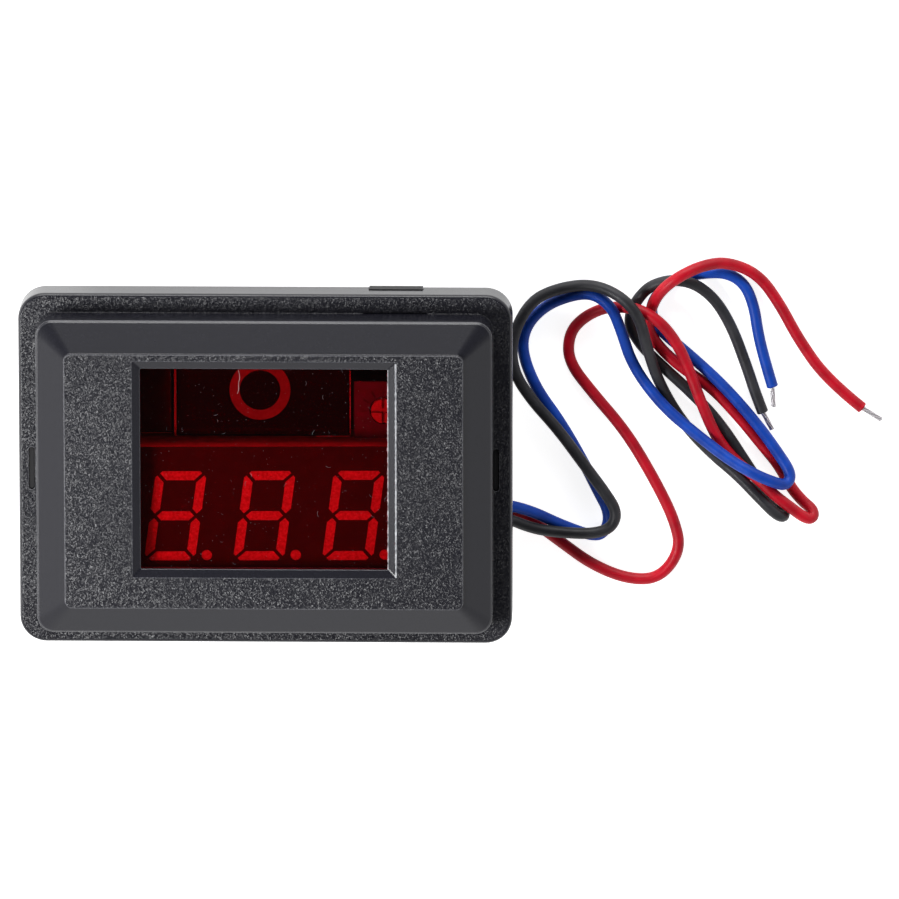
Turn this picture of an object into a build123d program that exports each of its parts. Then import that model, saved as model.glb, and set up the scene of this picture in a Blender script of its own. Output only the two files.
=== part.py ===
# Panel voltmeter lying on its back: +Z is the way the display faces, +Y is the top of the reading.
# The origin is the middle of the rear face, and every size is in millimetres.
import os
from math import pi, radians, tan
from build123d import *

os.makedirs("parts", exist_ok=True)

# front outline of the bezel
flange_width = 55.5
flange_height = 40.3
flange_corner = 3.0
flange_edge_round = 0.45
flange_back_round = 0.25
frame_margin = 2.15
frame_corner = 1.9
frame_edge = 0.2
ring_run_x = 3.25
ring_run_y = 3.35
plateau_corner = 0.8

# depths, from the rear face to the front
housing_depth = 11.0
flange_thickness = 4.2
frame_rise = 4.1
ring_rise = 1.95
plateau_step = 0.35
face_wall = 1.5
frame_wall = 1.5
rim_wall = 1.0

# window and lens
plateau_side = 7.525
plateau_over_window = 0.755
plateau_under_window = 3.595
window_x = 0.07
bevel_width = 0.92
bevel_depth = 0.45
lens_flange_overlap = 1.6
lens_flange_thickness = 1.2
lens_fit = 0.05
lens_corner = 0.2
rib_wall = 0.8
rib_depth = 1.1
rib_fit = 0.2

# rear housing
box_inset_x = 2.1
box_inset_y = 1.8
box_corner = 1.5
box_wall = 1.5
rear_wall = 1.2
plate_thickness = 1.5
plate_fit = 0.2
lip_height = 2.5
lip_wall = 1.2
pad_side = 2.0

# latches between the bezel and the rear housing
side_slot_width = 0.66
side_slot_length = 4.86
side_slot_gap = 0.2
side_slot_shift = -0.17
tongue_fit = 0.06
tongue_below_face = 0.2
notch_width = 6.1
notch_height = 1.7
notch_x = 14.65
tab_fit = 0.03
tab_proud = 0.1
witness_width = 7.2
witness_height = 0.12
witness_depth = 0.15

# snaps that hold the meter in its panel
snap_width = 6.0
snap_x = 12.0
snap_reach = 0.7
snap_length = 4.0
panel_gap = 2.5
slit_width = 0.6
slit_below_plate = 1.0
slit_from_rear = 2.0

# printed circuit board and its posts
board_fit = 0.3
board_thickness = 1.6
post_radius = 2.0
post_inset = 2.4
screw_radius = 0.8
screw_from_rear = 1.7
screw_head_radius = 1.7
screw_head_height = 1.2
screw_cross_length = 2.0
screw_cross_width = 0.4
screw_cross_depth = 0.6
screw_hole_fit = 0.3
pilot_fit = 0.02
pin_reach = 1.2
pin_hole_radius = 0.45

# display block with three figures
display_width = 30.2
display_height = 16.4
display_depth = 8.0
display_gap = 0.8
display_y = -4.7
display_turn = 0.4
display_standoff = 0.2
figure_height = 10.3
figure_width = 5.73
figure_spacing = 10.0
figure_y = 0.215
stroke = 1.03
stroke_gap = 0.38
corner_cut = 0.5
slant = 8.1
segment_depth = 0.6
segment_fit = 0.03
point_radius = 0.57
point_x = 3.47
point_drop = 4.55
display_pin = 0.5
display_pin_rows = 14.2
pin_pitch = 2.54
display_pin_columns = 6

# larger parts on the front of the board
module_width = 19.5
module_height = 9.0
module_depth = 3.6
module_x = -0.25
module_gap = 0.15
module_edge = 0.25
module_pin_rows = 7.62
module_pin_pitch = 2.2
module_pin_columns = 8
rectifier_width = 6.5
rectifier_height = 8.5
rectifier_depth = 3.3
rectifier_side_gap = 0.4
rectifier_gap = 0.4
rectifier_pin_rows = 5.08
part_standoff = 0.2
part_pin = 0.5

# trimmer
trimmer_width = 6.6
trimmer_height = 6.5
trimmer_depth = 4.4
trimmer_side_gap = 0.5
trimmer_gap = 0.15
rotor_drop = 0.1
rotor_radius = 1.4
rotor_thickness = 0.95
rotor_proud = 0.3
rotor_fit = 0.2
rotor_slot = 0.4
rotor_slot_depth = 0.5
dial_marks = 12
dial_mark_from = 1.8
dial_mark_length = 0.75
dial_mark_width = 0.2
dial_mark_depth = 0.12
hub_radius = 0.7
hub_length = 2.0
hub_fit = 0.05

# parts on the rear of the board
driver_width = 12.8
driver_height = 7.5
driver_depth = 2.3
driver_x = 1.0
driver_below_display = 0.3
driver_pitch = 1.27
driver_columns = 10
driver_lead = 0.4
driver_lead_reach = 1.4
capacitor_radius = 2.5
capacitor_from_rear = 1.7
capacitor_x = -15.0
capacitor_y = -6.0
regulator_body = (4.5, 2.5, 1.5)
regulator_tab = (1.7, 4.2, 0.4)
diode_body = (4.3, 2.6, 2.2)
diode_tabs = (5.2, 1.5, 0.4)
diode_x = 13.5
diode_y = 1.5
resistor_size = (1.25, 2.0, 0.5)
resistor_pitch = 2.1
resistor_row = 8
resistor_row_drop = 1.0
chip_capacitor_size = (1.25, 2.0, 1.0)
beside_driver = 2.8
driver_pair_spread = 2.0
beside_edge = 2.7
edge_capacitor_y = 3.0
beside_module = 9.25
below_module = 4.15
transistor_body = (2.9, 1.3, 1.1)
transistor_leads = (0.4, 2.4, 0.2)
transistor_pitch = 5.0
transistor_row_rise = 1.8

# leads
lead_radius = 0.65
bare_radius = 0.24
bare_length = 2.4
grommet_y = -7.6
grommet_z = 3.1
grommet_width = 5.2
grommet_height = 3.7
grommet_neck = 0.5
grommet_lip = 0.8
grommet_inner_lip = 1.0
grommet_fit = 0.02
blue_rise = 0.9
black_drop = 0.6
upper_lead_rise = 0.7
joint_inset = 4.5
joint_stagger = 3.0
joint_radius = 0.7
joint_height = 1.0

# levels that follow from the depths
flange_back_z = housing_depth
flange_face_z = flange_back_z + flange_thickness
frame_edge_z = flange_face_z + frame_rise
ring_top_z = frame_edge_z + ring_rise
plateau_z = ring_top_z + plateau_step
face_inner_z = plateau_z - face_wall
rim_inner_z = flange_face_z - face_wall
lens_front_z = plateau_z - bevel_depth
plate_top_z = flange_back_z + plate_thickness
display_front_z = face_inner_z - lens_flange_thickness - display_gap
display_rear_z = display_front_z - display_depth
board_front_z = display_rear_z - display_standoff
board_rear_z = board_front_z - board_thickness
pin_end_z = board_rear_z - pin_reach
capacitor_length = board_rear_z - rear_wall - capacitor_from_rear
screw_length = board_front_z - rear_wall - screw_from_rear
slit_top_z = flange_back_z - slit_below_plate

# sizes that follow from the outline
frame_width = flange_width - 2 * frame_margin
frame_height = flange_height - 2 * frame_margin
plateau_width = frame_width - 2 * ring_run_x
plateau_height = frame_height - 2 * ring_run_y
box_width = frame_width - 2 * box_inset_x
box_height = frame_height - 2 * box_inset_y
window_width = plateau_width - 2 * plateau_side
window_height = plateau_height - plateau_over_window - plateau_under_window
window_y = (plateau_under_window - plateau_over_window) / 2
opening_width = window_width - 2 * bevel_width
opening_height = window_height - 2 * bevel_width
cavity_width = frame_width - 2 * frame_wall
cavity_height = frame_height - 2 * frame_wall
rim_inner_width = flange_width - 2 * rim_wall
rim_inner_height = flange_height - 2 * rim_wall
plate_width = rim_inner_width - 2 * plate_fit
plate_height = rim_inner_height - 2 * plate_fit
box_inner_width = box_width - 2 * box_wall
box_inner_height = box_height - 2 * box_wall
board_width = box_inner_width - 2 * board_fit
board_height = box_inner_height - 2 * board_fit
post_x = board_width / 2 - post_inset
post_y = board_height / 2 - post_inset
wall_outer_x = box_width / 2
exit_x = wall_outer_x + grommet_lip
upper_lead_z = grommet_z + upper_lead_rise
lower_lead_z = grommet_z - upper_lead_rise

# places that follow from the display's top edge and from the module's sides
display_top_y = display_y + display_height / 2
module_y = display_top_y + module_gap + module_height / 2
rectifier_x = module_x - (module_width + rectifier_width) / 2 - rectifier_side_gap
trimmer_x = module_x + (module_width + trimmer_width) / 2 + trimmer_side_gap
rectifier_y = display_top_y + rectifier_gap + rectifier_height / 2
regulator_y = rectifier_y
trimmer_body_y = display_top_y + trimmer_gap + trimmer_height / 2
trimmer_y = trimmer_body_y - rotor_drop
driver_y = display_y - driver_below_display

# The leads' routes are lists of points in the order in which they leave the meter.
black_route = [
    (exit_x, grommet_y - black_drop, upper_lead_z), (26.6, -8.2, 3.8), (30.0, -10.0, 2.8),
    (33.8, -10.4, 2.4), (36.8, -10.5, 2.3), (38.5, -9.7, 2.2), (39.1, -8.0, 2.1), (38.0, -5.7, 2.1),
    (35.5, -2.3, 2.1), (32.7, 1.6, 2.1), (29.5, 5.1, 2.1), (27.9, 8.4, 2.1), (28.1, 12.2, 2.1),
    (29.4, 17.1, 2.1), (32.6, 18.4, 2.3), (36.5, 18.9, 3.1), (39.7, 17.8, 4.6), (41.9, 15.4, 4.7),
    (42.8, 11.2, 3.2), (44.2, 6.5, 1.0), (46.9, 1.9, 0.65), (50.2, -1.6, 0.65), (52.9, -3.7, 1.3),
    (55.2, -5.8, 2.7), (57.5, -8.1, 3.1), (58.5, -8.5, 2.0), (58.4, -7.5, 0.65), (56.8, -5.8, 0.65),
    (54.6, -3.0, 0.65), (51.1, 2.0, 0.65), (47.9, 5.5, 0.65), (44.3, 8.8, 0.65), (41.5, 11.3, 0.65),
    (40.2, 13.8, 0.65), (41.1, 16.1, 0.7), (43.2, 18.5, 1.7), (47.0, 19.2, 2.2), (50.1, 17.1, 1.2),
    (52.3, 13.4, 0.65), (54.1, 8.4, 0.65), (55.0, 5.6, 0.65), (55.8, 3.5, 0.65),
]
blue_route = [
    (exit_x, grommet_y + blue_rise, upper_lead_z), (26.6, -6.7, 3.8), (29.7, -7.8, 2.6),
    (32.7, -9.2, 1.4), (35.6, -10.3, 0.7), (37.7, -10.0, 0.65), (38.7, -8.3, 0.65), (37.5, -5.5, 0.65),
    (35.4, -1.9, 0.65), (32.9, 2.2, 0.65), (30.3, 6.1, 0.65), (28.7, 10.4, 0.65), (29.1, 13.3, 0.65),
    (31.1, 15.8, 0.8), (34.1, 17.3, 1.6), (36.6, 17.6, 2.8), (38.7, 16.3, 3.5), (39.8, 13.4, 2.8),
    (41.1, 8.9, 1.6), (44.5, 4.4, 2.2), (48.5, 1.1, 2.6), (52.0, -1.5, 3.3), (55.0, -3.1, 4.0),
    (57.1, -4.1, 3.5), (58.6, -4.6, 2.7), (59.8, -3.2, 1.9), (57.7, -1.0, 1.5), (55.3, 2.3, 1.5),
    (51.8, 6.5, 1.3), (48.1, 10.2, 0.8), (45.5, 12.7, 0.65), (44.0, 14.5, 0.65), (43.8, 16.1, 0.65),
    (44.8, 17.7, 0.65), (46.5, 18.7, 0.65), (48.9, 19.5, 0.65), (51.6, 19.6, 0.65), (53.7, 18.4, 0.65),
    (54.8, 15.8, 0.65), (55.3, 12.4, 0.65), (56.1, 9.2, 0.65), (56.9, 6.5, 0.65),
]
red_route = [
    (exit_x, grommet_y, lower_lead_z), (26.6, -7.6, 2.4), (29.3, -9.0, 1.0), (32.9, -11.8, 0.65),
    (36.5, -14.5, 0.65), (40.6, -16.2, 0.65), (44.2, -16.1, 0.65), (46.6, -12.8, 0.65), (45.9, -9.3, 0.65),
    (43.7, -4.7, 0.65), (40.4, 1.0, 0.65), (36.6, 5.5, 0.65), (33.8, 9.2, 0.65), (33.9, 12.4, 0.65),
    (35.5, 14.3, 0.65), (37.9, 15.6, 1.3), (39.9, 15.9, 2.3), (42.0, 15.9, 3.4), (44.4, 14.4, 3.7),
    (46.3, 11.6, 2.8), (47.6, 8.4, 2.4), (48.8, 5.1, 2.5), (50.6, 0.5, 1.5), (52.9, -2.3, 1.5),
    (55.3, -3.9, 2.4), (57.1, -5.7, 2.7), (58.7, -7.0, 2.6), (60.8, -9.1, 2.0), (62.0, -8.8, 1.5),
    (62.2, -7.6, 1.0), (61.0, -6.7, 0.65), (59.2, -5.0, 0.65), (57.7, -2.8, 0.65), (55.9, -0.6, 0.65),
    (53.2, 2.8, 0.65), (50.0, 6.3, 0.65), (46.5, 8.6, 0.65), (43.8, 11.2, 0.65), (42.7, 13.5, 1.0),
    (43.2, 15.7, 1.8), (44.2, 18.0, 3.4), (46.3, 19.9, 4.3), (48.9, 20.9, 3.0), (51.8, 21.1, 1.8),
    (55.3, 19.4, 0.65), (57.7, 16.0, 0.65), (59.9, 11.8, 0.65), (63.1, 7.2, 0.65), (67.0, 4.0, 0.65),
]


def slab(width, height, corner, low, high, x=0, y=0):
    # a flat piece with rounded corners between two levels
    return extrude(Pos(x, y, low) * RectangleRounded(width, height, corner), high - low)


def block(width, height, low, high, x=0, y=0):
    return Pos(x, y, (low + high) / 2) * Box(width, height, high - low)


def rod(radius, low, high, x=0, y=0):
    return Pos(x, y, (low + high) / 2) * Cylinder(radius, high - low)


def spread(count, pitch):
    # places in a row about zero
    return [(number - (count - 1) / 2) * pitch for number in range(count)]


def slope(lower, upper):
    # a straight loft between two rounded rectangles: width, height, corner, level, x, y
    faces = [Pos(s[4], s[5], s[3]) * RectangleRounded(s[0], s[1], s[2]) for s in (lower, upper)]
    return loft(faces, ruled=True)


def bezel():
    flange = slab(flange_width, flange_height, flange_corner, flange_back_z, flange_face_z)
    flange = fillet(flange.faces().sort_by(Axis.Z)[-1].edges(), flange_edge_round)
    flange = fillet(flange.faces().sort_by(Axis.Z)[0].edges(), flange_back_round)
    outer_low = (frame_width, frame_height, frame_corner, frame_edge_z - frame_edge, 0, 0)
    outer_top = (frame_width - 2 * frame_edge, frame_height - 2 * frame_edge, frame_corner - frame_edge,
                 frame_edge_z, 0, 0)
    ring_top = (plateau_width, plateau_height, plateau_corner, ring_top_z, 0, 0)
    body = flange + slab(*outer_low[:3], flange_face_z - face_wall, outer_low[3])
    body += slope(outer_low, outer_top) + slope(outer_top, ring_top)
    body += slab(plateau_width, plateau_height, plateau_corner, ring_top_z, plateau_z)
    return body - bezel_hollow() - window_cut() - latch_cuts() + lens_rib()


def bezel_hollow():
    inner_corner = frame_corner - frame_wall
    shoulder_z = frame_edge_z - frame_wall * 0.8
    low = (cavity_width, cavity_height, inner_corner, shoulder_z, 0, 0)
    top = (plateau_width, plateau_height, inner_corner, face_inner_z, 0, 0)
    rim = slab(rim_inner_width, rim_inner_height, flange_corner - rim_wall, flange_back_z, rim_inner_z)
    return rim + slab(*low[:3], flange_back_z, shoulder_z) + slope(low, top)


def window_cut():
    inner = (opening_width, opening_height, lens_corner, lens_front_z, window_x, window_y)
    outer = (window_width, window_height, lens_corner, plateau_z, window_x, window_y)
    through = slab(*inner[:3], face_inner_z, lens_front_z, window_x, window_y)
    return through + slope(inner, outer)


def lens_rib():
    # the low wall on the inside of the face that the lens drops into
    width = opening_width + 2 * (lens_flange_overlap + rib_fit)
    height = opening_height + 2 * (lens_flange_overlap + rib_fit)
    low = face_inner_z - rib_depth
    outer = block(width + 2 * rib_wall, height + 2 * rib_wall, low, face_inner_z, window_x, window_y)
    return outer - block(width, height, low, face_inner_z, window_x, window_y)


def side_slot_x(side):
    return side * (frame_width / 2 + side_slot_gap + side_slot_width / 2) + side_slot_shift


def latch_cuts():
    # slots in the flange's face for the tongues, notches in the rim's back edge for the tabs,
    # and the fine line that the tool leaves along the foot of the frame
    cuts = Part()
    for side in (-1, 1):
        slot = slab(side_slot_width, side_slot_length, side_slot_width * 0.45,
                    rim_inner_z, flange_face_z, side_slot_x(side), 0)
        notch = block(notch_width, rim_wall, flange_back_z, flange_back_z + notch_height,
                      side * notch_x, side * (flange_height - rim_wall) / 2)
        cuts += slot + notch
    return cuts + block(witness_width, witness_height, flange_face_z - witness_depth, flange_face_z,
                        notch_x, (frame_height + witness_height) / 2)


def red_lens():
    width = opening_width - 2 * lens_fit
    height = opening_height - 2 * lens_fit
    flange_low = face_inner_z - lens_flange_thickness
    flange = slab(opening_width + 2 * lens_flange_overlap, opening_height + 2 * lens_flange_overlap,
                  lens_corner, flange_low, face_inner_z, window_x, window_y)
    return flange + slab(width, height, lens_corner - lens_fit, face_inner_z, lens_front_z,
                         window_x, window_y)


def rear_housing():
    box = slab(box_width, box_height, box_corner, 0, plate_top_z)
    plate = slab(plate_width, plate_height, flange_corner - rim_wall - plate_fit,
                 flange_back_z, plate_top_z)
    lip = slab(cavity_width - 2 * plate_fit, cavity_height - 2 * plate_fit, plate_fit,
               plate_top_z, plate_top_z + lip_height)
    lip -= slab(cavity_width - 2 * plate_fit - 2 * lip_wall, cavity_height - 2 * plate_fit - 2 * lip_wall,
                plate_fit, plate_top_z, plate_top_z + lip_height)
    hollow = slab(box_inner_width, box_inner_height, box_corner - box_wall / 2, rear_wall, plate_top_z)
    return box + plate + lip - hollow + latches() + posts() + snaps() - snap_slits() - grommet_hole()


def latches():
    tongue_width = side_slot_width - 2 * tongue_fit
    tab_depth = (flange_height - plate_height) / 2 + tab_proud
    parts = Part()
    for side in (-1, 1):
        parts += slab(tongue_width, side_slot_length - 2 * tongue_fit, tongue_width * 0.45,
                      plate_top_z, flange_face_z - tongue_below_face, side_slot_x(side), 0)
        parts += block(notch_width - 2 * tab_fit, tab_depth, flange_back_z,
                       flange_back_z + notch_height - tab_fit,
                       side * notch_x, side * (plate_height + tab_depth) / 2)
        for end in (-1, 1):
            parts += block(pad_side, pad_side, plate_top_z, rim_inner_z,
                           side * (cavity_width + pad_side) / 2, end * (cavity_height / 2 - pad_side))
    return parts


def posts():
    holes = Part()
    columns = Part()
    for x in (-post_x, post_x):
        for y in (-post_y, post_y):
            columns += rod(post_radius, rear_wall, board_rear_z, x, y)
            holes += rod(screw_radius + pilot_fit, board_front_z - screw_length, board_rear_z, x, y)
    return columns - holes


def snaps():
    # wedges that click behind the panel, on the long walls
    wedges = Part()
    top = flange_back_z - panel_gap
    outline = Polyline((0, top), (snap_reach, top), (0, top - snap_length), close=True)
    wedge = extrude(Plane.YZ * make_face(outline), snap_width / 2, both=True)
    for x in (-snap_x, snap_x):
        wedges += Pos(x, box_height / 2, 0) * wedge
        wedges += Pos(x, -box_height / 2, 0) * Rot(0, 0, 180) * wedge
    return wedges


def snap_slits():
    # a slit on each side of a wedge lets its stretch of wall bend inwards
    slits = Part()
    for x in (-snap_x, snap_x):
        for edge in (-1, 1):
            slit_x = x + edge * (snap_width + slit_width) / 2
            for side in (-1, 1):
                slits += block(slit_width, box_wall, slit_from_rear, slit_top_z,
                               slit_x, side * (box_height - box_wall) / 2)
    return slits


def across_wall(width, height, corner, low_x, high_x):
    # a rounded bar along X at the place where the leads pass through the wall
    face = Plane.YZ.offset(low_x) * Pos(grommet_y, grommet_z) * RectangleRounded(width, height, corner)
    return extrude(face, high_x - low_x)


def grommet_hole():
    width = grommet_width - 2 * grommet_neck
    height = grommet_height - grommet_neck
    return across_wall(width, height, height * 0.4, wall_outer_x - box_wall, wall_outer_x)


def lead_starts():
    return {
        "black": (grommet_y - black_drop, upper_lead_z),
        "blue": (grommet_y + blue_rise, upper_lead_z),
        "red": (grommet_y, lower_lead_z),
    }


def lead_grommet():
    inner_x = wall_outer_x - box_wall
    neck_width = grommet_width - 2 * grommet_neck
    neck_height = grommet_height - grommet_neck
    body = across_wall(neck_width - 2 * grommet_fit, neck_height - 2 * grommet_fit, neck_height * 0.39,
                       inner_x - grommet_inner_lip, exit_x)
    body += across_wall(grommet_width, grommet_height, grommet_height * 0.4, wall_outer_x, exit_x)
    body += across_wall(grommet_width, grommet_height, grommet_height * 0.4,
                        inner_x - grommet_inner_lip, inner_x)
    for y, z in lead_starts().values():
        bore = Cylinder(lead_radius + grommet_fit, exit_x - inner_x + 2 * grommet_inner_lip)
        body -= Pos((exit_x + inner_x) / 2, y, z) * Rot(0, 90, 0) * bore
    return body


def slanted(points):
    return [(x + y * tan(radians(slant)), y) for x, y in points]


def bar_outline(half, level, side):
    # top, middle or bottom bar of a figure: level is its centre line, side is 1, 0 or -1
    t = half
    end = (figure_width - stroke) / 2
    gap = stroke_gap * 0.7
    if side == 0:
        tip = end - gap
        shape = [(-tip, 0), (t - tip, t), (tip - t, t), (tip, 0), (tip - t, -t), (t - tip, -t)]
        return slanted(shape)
    outer = end + t - gap
    shape = [(corner_cut - outer, t), (outer - corner_cut, t),
             (outer - corner_cut / 2, t - corner_cut / 2), (end - t - gap, -t),
             (gap + t - end, -t), (corner_cut / 2 - outer, t - corner_cut / 2)]
    return slanted([(x, level + side * y) for x, y in shape])


def upright_outline(half, side_x, side_y):
    # one upright of a figure: pointed towards the middle bar, mitred towards the outer bar
    t = half
    centre = (figure_width - stroke) / 2
    reach = (figure_height - stroke) / 2
    gap = stroke_gap * 0.7
    shape = [(centre, gap), (centre + t, gap + t), (centre + t, reach + t - gap - corner_cut),
             (centre + t - corner_cut / 2, reach + t - gap - corner_cut / 2),
             (centre - t, reach - t - gap), (centre - t, gap + t)]
    return slanted([(side_x * x, side_y * y) for x, y in shape])


def segment_outlines(half):
    reach = (figure_height - stroke) / 2
    outlines = [bar_outline(half, level * reach, level) for level in (1, 0, -1)]
    outlines += [upright_outline(half, x, y) for x in (-1, 1) for y in (-1, 1)]
    return outlines


def figure(place, grow=0.0):
    # the seven bars and the point of one figure, on the display's own centre
    depth = segment_depth + grow
    solids = []
    for outline in segment_outlines(stroke / 2 + grow):
        face = make_face(Polyline(*outline, close=True))
        solids.append(extrude(face, -depth))
    point = Pos(point_x, -point_drop, -depth / 2) * Cylinder(point_radius + grow, depth)
    solids.append(point)
    return [Pos(place, figure_y, 0) * solid for solid in solids]


def on_display(shape, level):
    return Pos(0, display_y, level) * Rot(0, 0, display_turn) * shape


def display_block():
    body = slab(display_width, display_height, lens_corner, display_rear_z - display_front_z, 0)
    for place in (-figure_spacing, 0, figure_spacing):
        for pocket in figure(place, segment_fit):
            body -= pocket
    return on_display(body, display_front_z)


def display_pin_places():
    return [(x, row * display_pin_rows / 2)
            for x in spread(display_pin_columns, pin_pitch) for row in (-1, 1)]


def display_pins():
    length = display_rear_z - pin_end_z
    pins = [Pos(x, y, -length / 2) * Box(display_pin, display_pin / 2, length)
            for x, y in display_pin_places()]
    return Part() + [on_display(pin, display_rear_z) for pin in pins]


def module_pin_places():
    return [(module_x + x, module_y + row * module_pin_rows / 2)
            for x in spread(module_pin_columns, module_pin_pitch) for row in (-1, 1)]


def rectifier_pin_places():
    return [(rectifier_x + column * rectifier_pin_rows / 2, rectifier_y + row * module_pin_rows / 2)
            for column in (-1, 1) for row in (-1, 1)]


def trimmer_pin_places():
    reach = pin_pitch
    return [(trimmer_x - reach, trimmer_y - reach), (trimmer_x + reach, trimmer_y - reach),
            (trimmer_x, trimmer_y + reach)]


def pins_at(places, top_z):
    return Part() + [block(part_pin, part_pin / 2, pin_end_z, top_z, x, y) for x, y in places]


def joint_places():
    near = wall_outer_x - box_wall - joint_inset
    starts = lead_starts()
    return {
        "black": (near, starts["black"][0]),
        "blue": (near, starts["blue"][0]),
        "red": (near - joint_stagger, starts["red"][0]),
    }


def main_board():
    board = block(board_width, board_height, board_rear_z, board_front_z)
    for x in (-post_x, post_x):
        for y in (-post_y, post_y):
            board -= rod(screw_radius + screw_hole_fit, board_rear_z, board_front_z, x, y)
    display_holes = [Pos(0, display_y, 0) * Rot(0, 0, display_turn) * Pos(x, y, 0)
                     * rod(pin_hole_radius, board_rear_z, board_front_z) for x, y in display_pin_places()]
    places = module_pin_places() + rectifier_pin_places() + trimmer_pin_places()
    for hole in display_holes:
        board -= hole
    for x, y in places:
        board -= rod(pin_hole_radius, board_rear_z, board_front_z, x, y)
    return board


def moulded_block(width, height, depth, x, y):
    low = board_front_z + part_standoff
    body = block(width, height, low, low + depth, x, y)
    return chamfer(body.faces().sort_by(Axis.Z)[-1].edges(), module_edge)


def trimmer_top_z():
    return board_front_z + trimmer_depth


def trimmer_body():
    top = trimmer_top_z()
    body = block(trimmer_width, trimmer_height, board_front_z, top, trimmer_x, trimmer_body_y)
    recess = rotor_thickness - rotor_proud + hub_fit
    body -= rod(rotor_radius + rotor_fit, top - recess, top, trimmer_x, trimmer_y)
    depth = recess + hub_length + hub_fit
    body -= rod(hub_radius + hub_fit, top - depth, top, trimmer_x, trimmer_y)
    mark = block(dial_mark_length, dial_mark_width, top - dial_mark_depth, top,
                 dial_mark_from + dial_mark_length / 2, 0)
    for step in range(dial_marks):
        body -= Pos(trimmer_x, trimmer_y, 0) * Rot(0, 0, step * 360 / dial_marks) * mark
    return body


def trimmer_rotor():
    top = trimmer_top_z() + rotor_proud
    low = top - rotor_thickness
    rotor = rod(rotor_radius, low, top, trimmer_x, trimmer_y)
    rotor += rod(hub_radius, low - hub_length, low, trimmer_x, trimmer_y)
    across = 2 * rotor_radius
    for width, height in ((across, rotor_slot), (rotor_slot, across)):
        rotor -= block(width, height, top - rotor_slot_depth, top, trimmer_x, trimmer_y)
    return rotor


def driver_chip():
    top = board_rear_z - part_standoff
    body = block(driver_width, driver_height, top - driver_depth, top, driver_x, driver_y)
    return chamfer(body.faces().sort_by(Axis.Z)[0].edges(), module_edge)


def driver_leads():
    leads = []
    foot = 0.2
    knee_z = board_rear_z - part_standoff - driver_depth / 2
    half = driver_height / 2
    outline = Polyline((half, knee_z), (half + 0.4, knee_z), (half + 0.7, board_rear_z - foot),
                       (half + driver_lead_reach, board_rear_z - foot),
                       (half + driver_lead_reach, board_rear_z), (half + 0.5, board_rear_z),
                       (half + 0.25, knee_z + foot), (half, knee_z + foot), close=True)
    lead = extrude(Plane.YZ * make_face(outline), driver_lead / 2, both=True)
    for x in spread(driver_columns, driver_pitch):
        leads.append(Pos(driver_x + x, driver_y, 0) * lead)
        leads.append(Pos(driver_x + x, driver_y, 0) * Rot(0, 0, 180) * lead)
    return Part() + leads


def smoothing_capacitor():
    base = 0.6
    side = 2 * capacitor_radius + 0.3
    foot = block(side, side, board_rear_z - base, board_rear_z, capacitor_x, capacitor_y)
    foot = chamfer(foot.edges().filter_by(Axis.Z).sort_by(Axis.X)[:2], capacitor_radius * 0.3)
    can = rod(capacitor_radius, board_rear_z - capacitor_length, board_rear_z - base,
              capacitor_x, capacitor_y)
    can = fillet(can.faces().sort_by(Axis.Z)[0].edges(), 0.3)
    return foot + can


def small_body(width, height, depth, x, y):
    return block(width, height, board_rear_z - depth, board_rear_z, x, y)


def voltage_regulator():
    body = small_body(*regulator_body, rectifier_x, regulator_y)
    return body + small_body(*regulator_tab, rectifier_x, regulator_y)


def protection_diode():
    body = small_body(*diode_body, diode_x, diode_y)
    return body + small_body(*diode_tabs, diode_x, diode_y)


def chip_resistors():
    # a row of eight between the module's pins, and three beside the driver
    width, height, depth = resistor_size
    row = [small_body(width, height, depth, module_x + x, module_y - resistor_row_drop)
           for x in spread(resistor_row, resistor_pitch)]
    side_x = driver_x + driver_width / 2 + height
    side = [small_body(height, width, depth, side_x, driver_y + y) for y in spread(3, resistor_pitch)]
    return Part() + row + side


def chip_capacitors():
    # a pair beside the driver, one near the board's edge and one by the module's corner
    pair_x = driver_x - driver_width / 2 - beside_driver
    places = [(pair_x, driver_y + driver_pair_spread), (pair_x, driver_y - driver_pair_spread)]
    places.append((beside_edge - board_width / 2, edge_capacitor_y))
    places.append((module_x - beside_module, module_y - below_module))
    return Part() + [small_body(*chip_capacitor_size, x, y) for x, y in places]


def digit_transistors():
    solids = []
    y = module_y + transistor_row_rise
    for place in spread(3, transistor_pitch):
        x = module_x + place
        solids.append(small_body(*transistor_body, x, y) + small_body(*transistor_leads, x, y))
    return Part() + solids


def lead_solder_joints():
    joints = []
    for x, y in joint_places().values():
        cone = Cone(lead_radius, joint_radius, joint_height)
        joints.append(Pos(x, y, board_rear_z - joint_height / 2) * cone)
    return Part() + joints


def board_screws():
    screws = []
    for x in (-post_x, post_x):
        for y in (-post_y, post_y):
            head_top = board_front_z + screw_head_height
            head = rod(screw_head_radius, board_front_z, head_top, x, y)
            head = chamfer(head.faces().sort_by(Axis.Z)[-1].edges(), screw_head_height * 0.35)
            for width, height in ((screw_cross_length, screw_cross_width),
                                  (screw_cross_width, screw_cross_length)):
                head -= block(width, height, head_top - screw_cross_depth, head_top, x, y)
            screws.append(head + rod(screw_radius, board_front_z - screw_length, board_front_z, x, y))
    return Part() + screws


def corner_radii(points):
    # each bend takes up less than half of the shorter run beside it
    radii = []
    for before, here, after in zip(points, points[1:], points[2:]):
        come = Vector(*here) - Vector(*before)
        go = Vector(*after) - Vector(*here)
        half_turn = radians(come.get_angle(go)) / 2
        radii.append(0.45 * min(come.length, go.length) / tan(half_turn))
    return radii


def tube(name, points, radius):
    radii = corner_radii(points)
    path = FilletPolyline(*points, radius=radii)
    start = Plane(origin=points[0], z_dir=Vector(*points[1]) - Vector(*points[0]))
    solid = sweep(start * Circle(radius), path=path)
    section = pi * radius ** 2
    print(f"{name}: length {path.length:.1f} smallest radius {min(radii):.2f} "
          f"volume {solid.volume:.1f} of {section * path.length:.1f}")
    return solid


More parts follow.
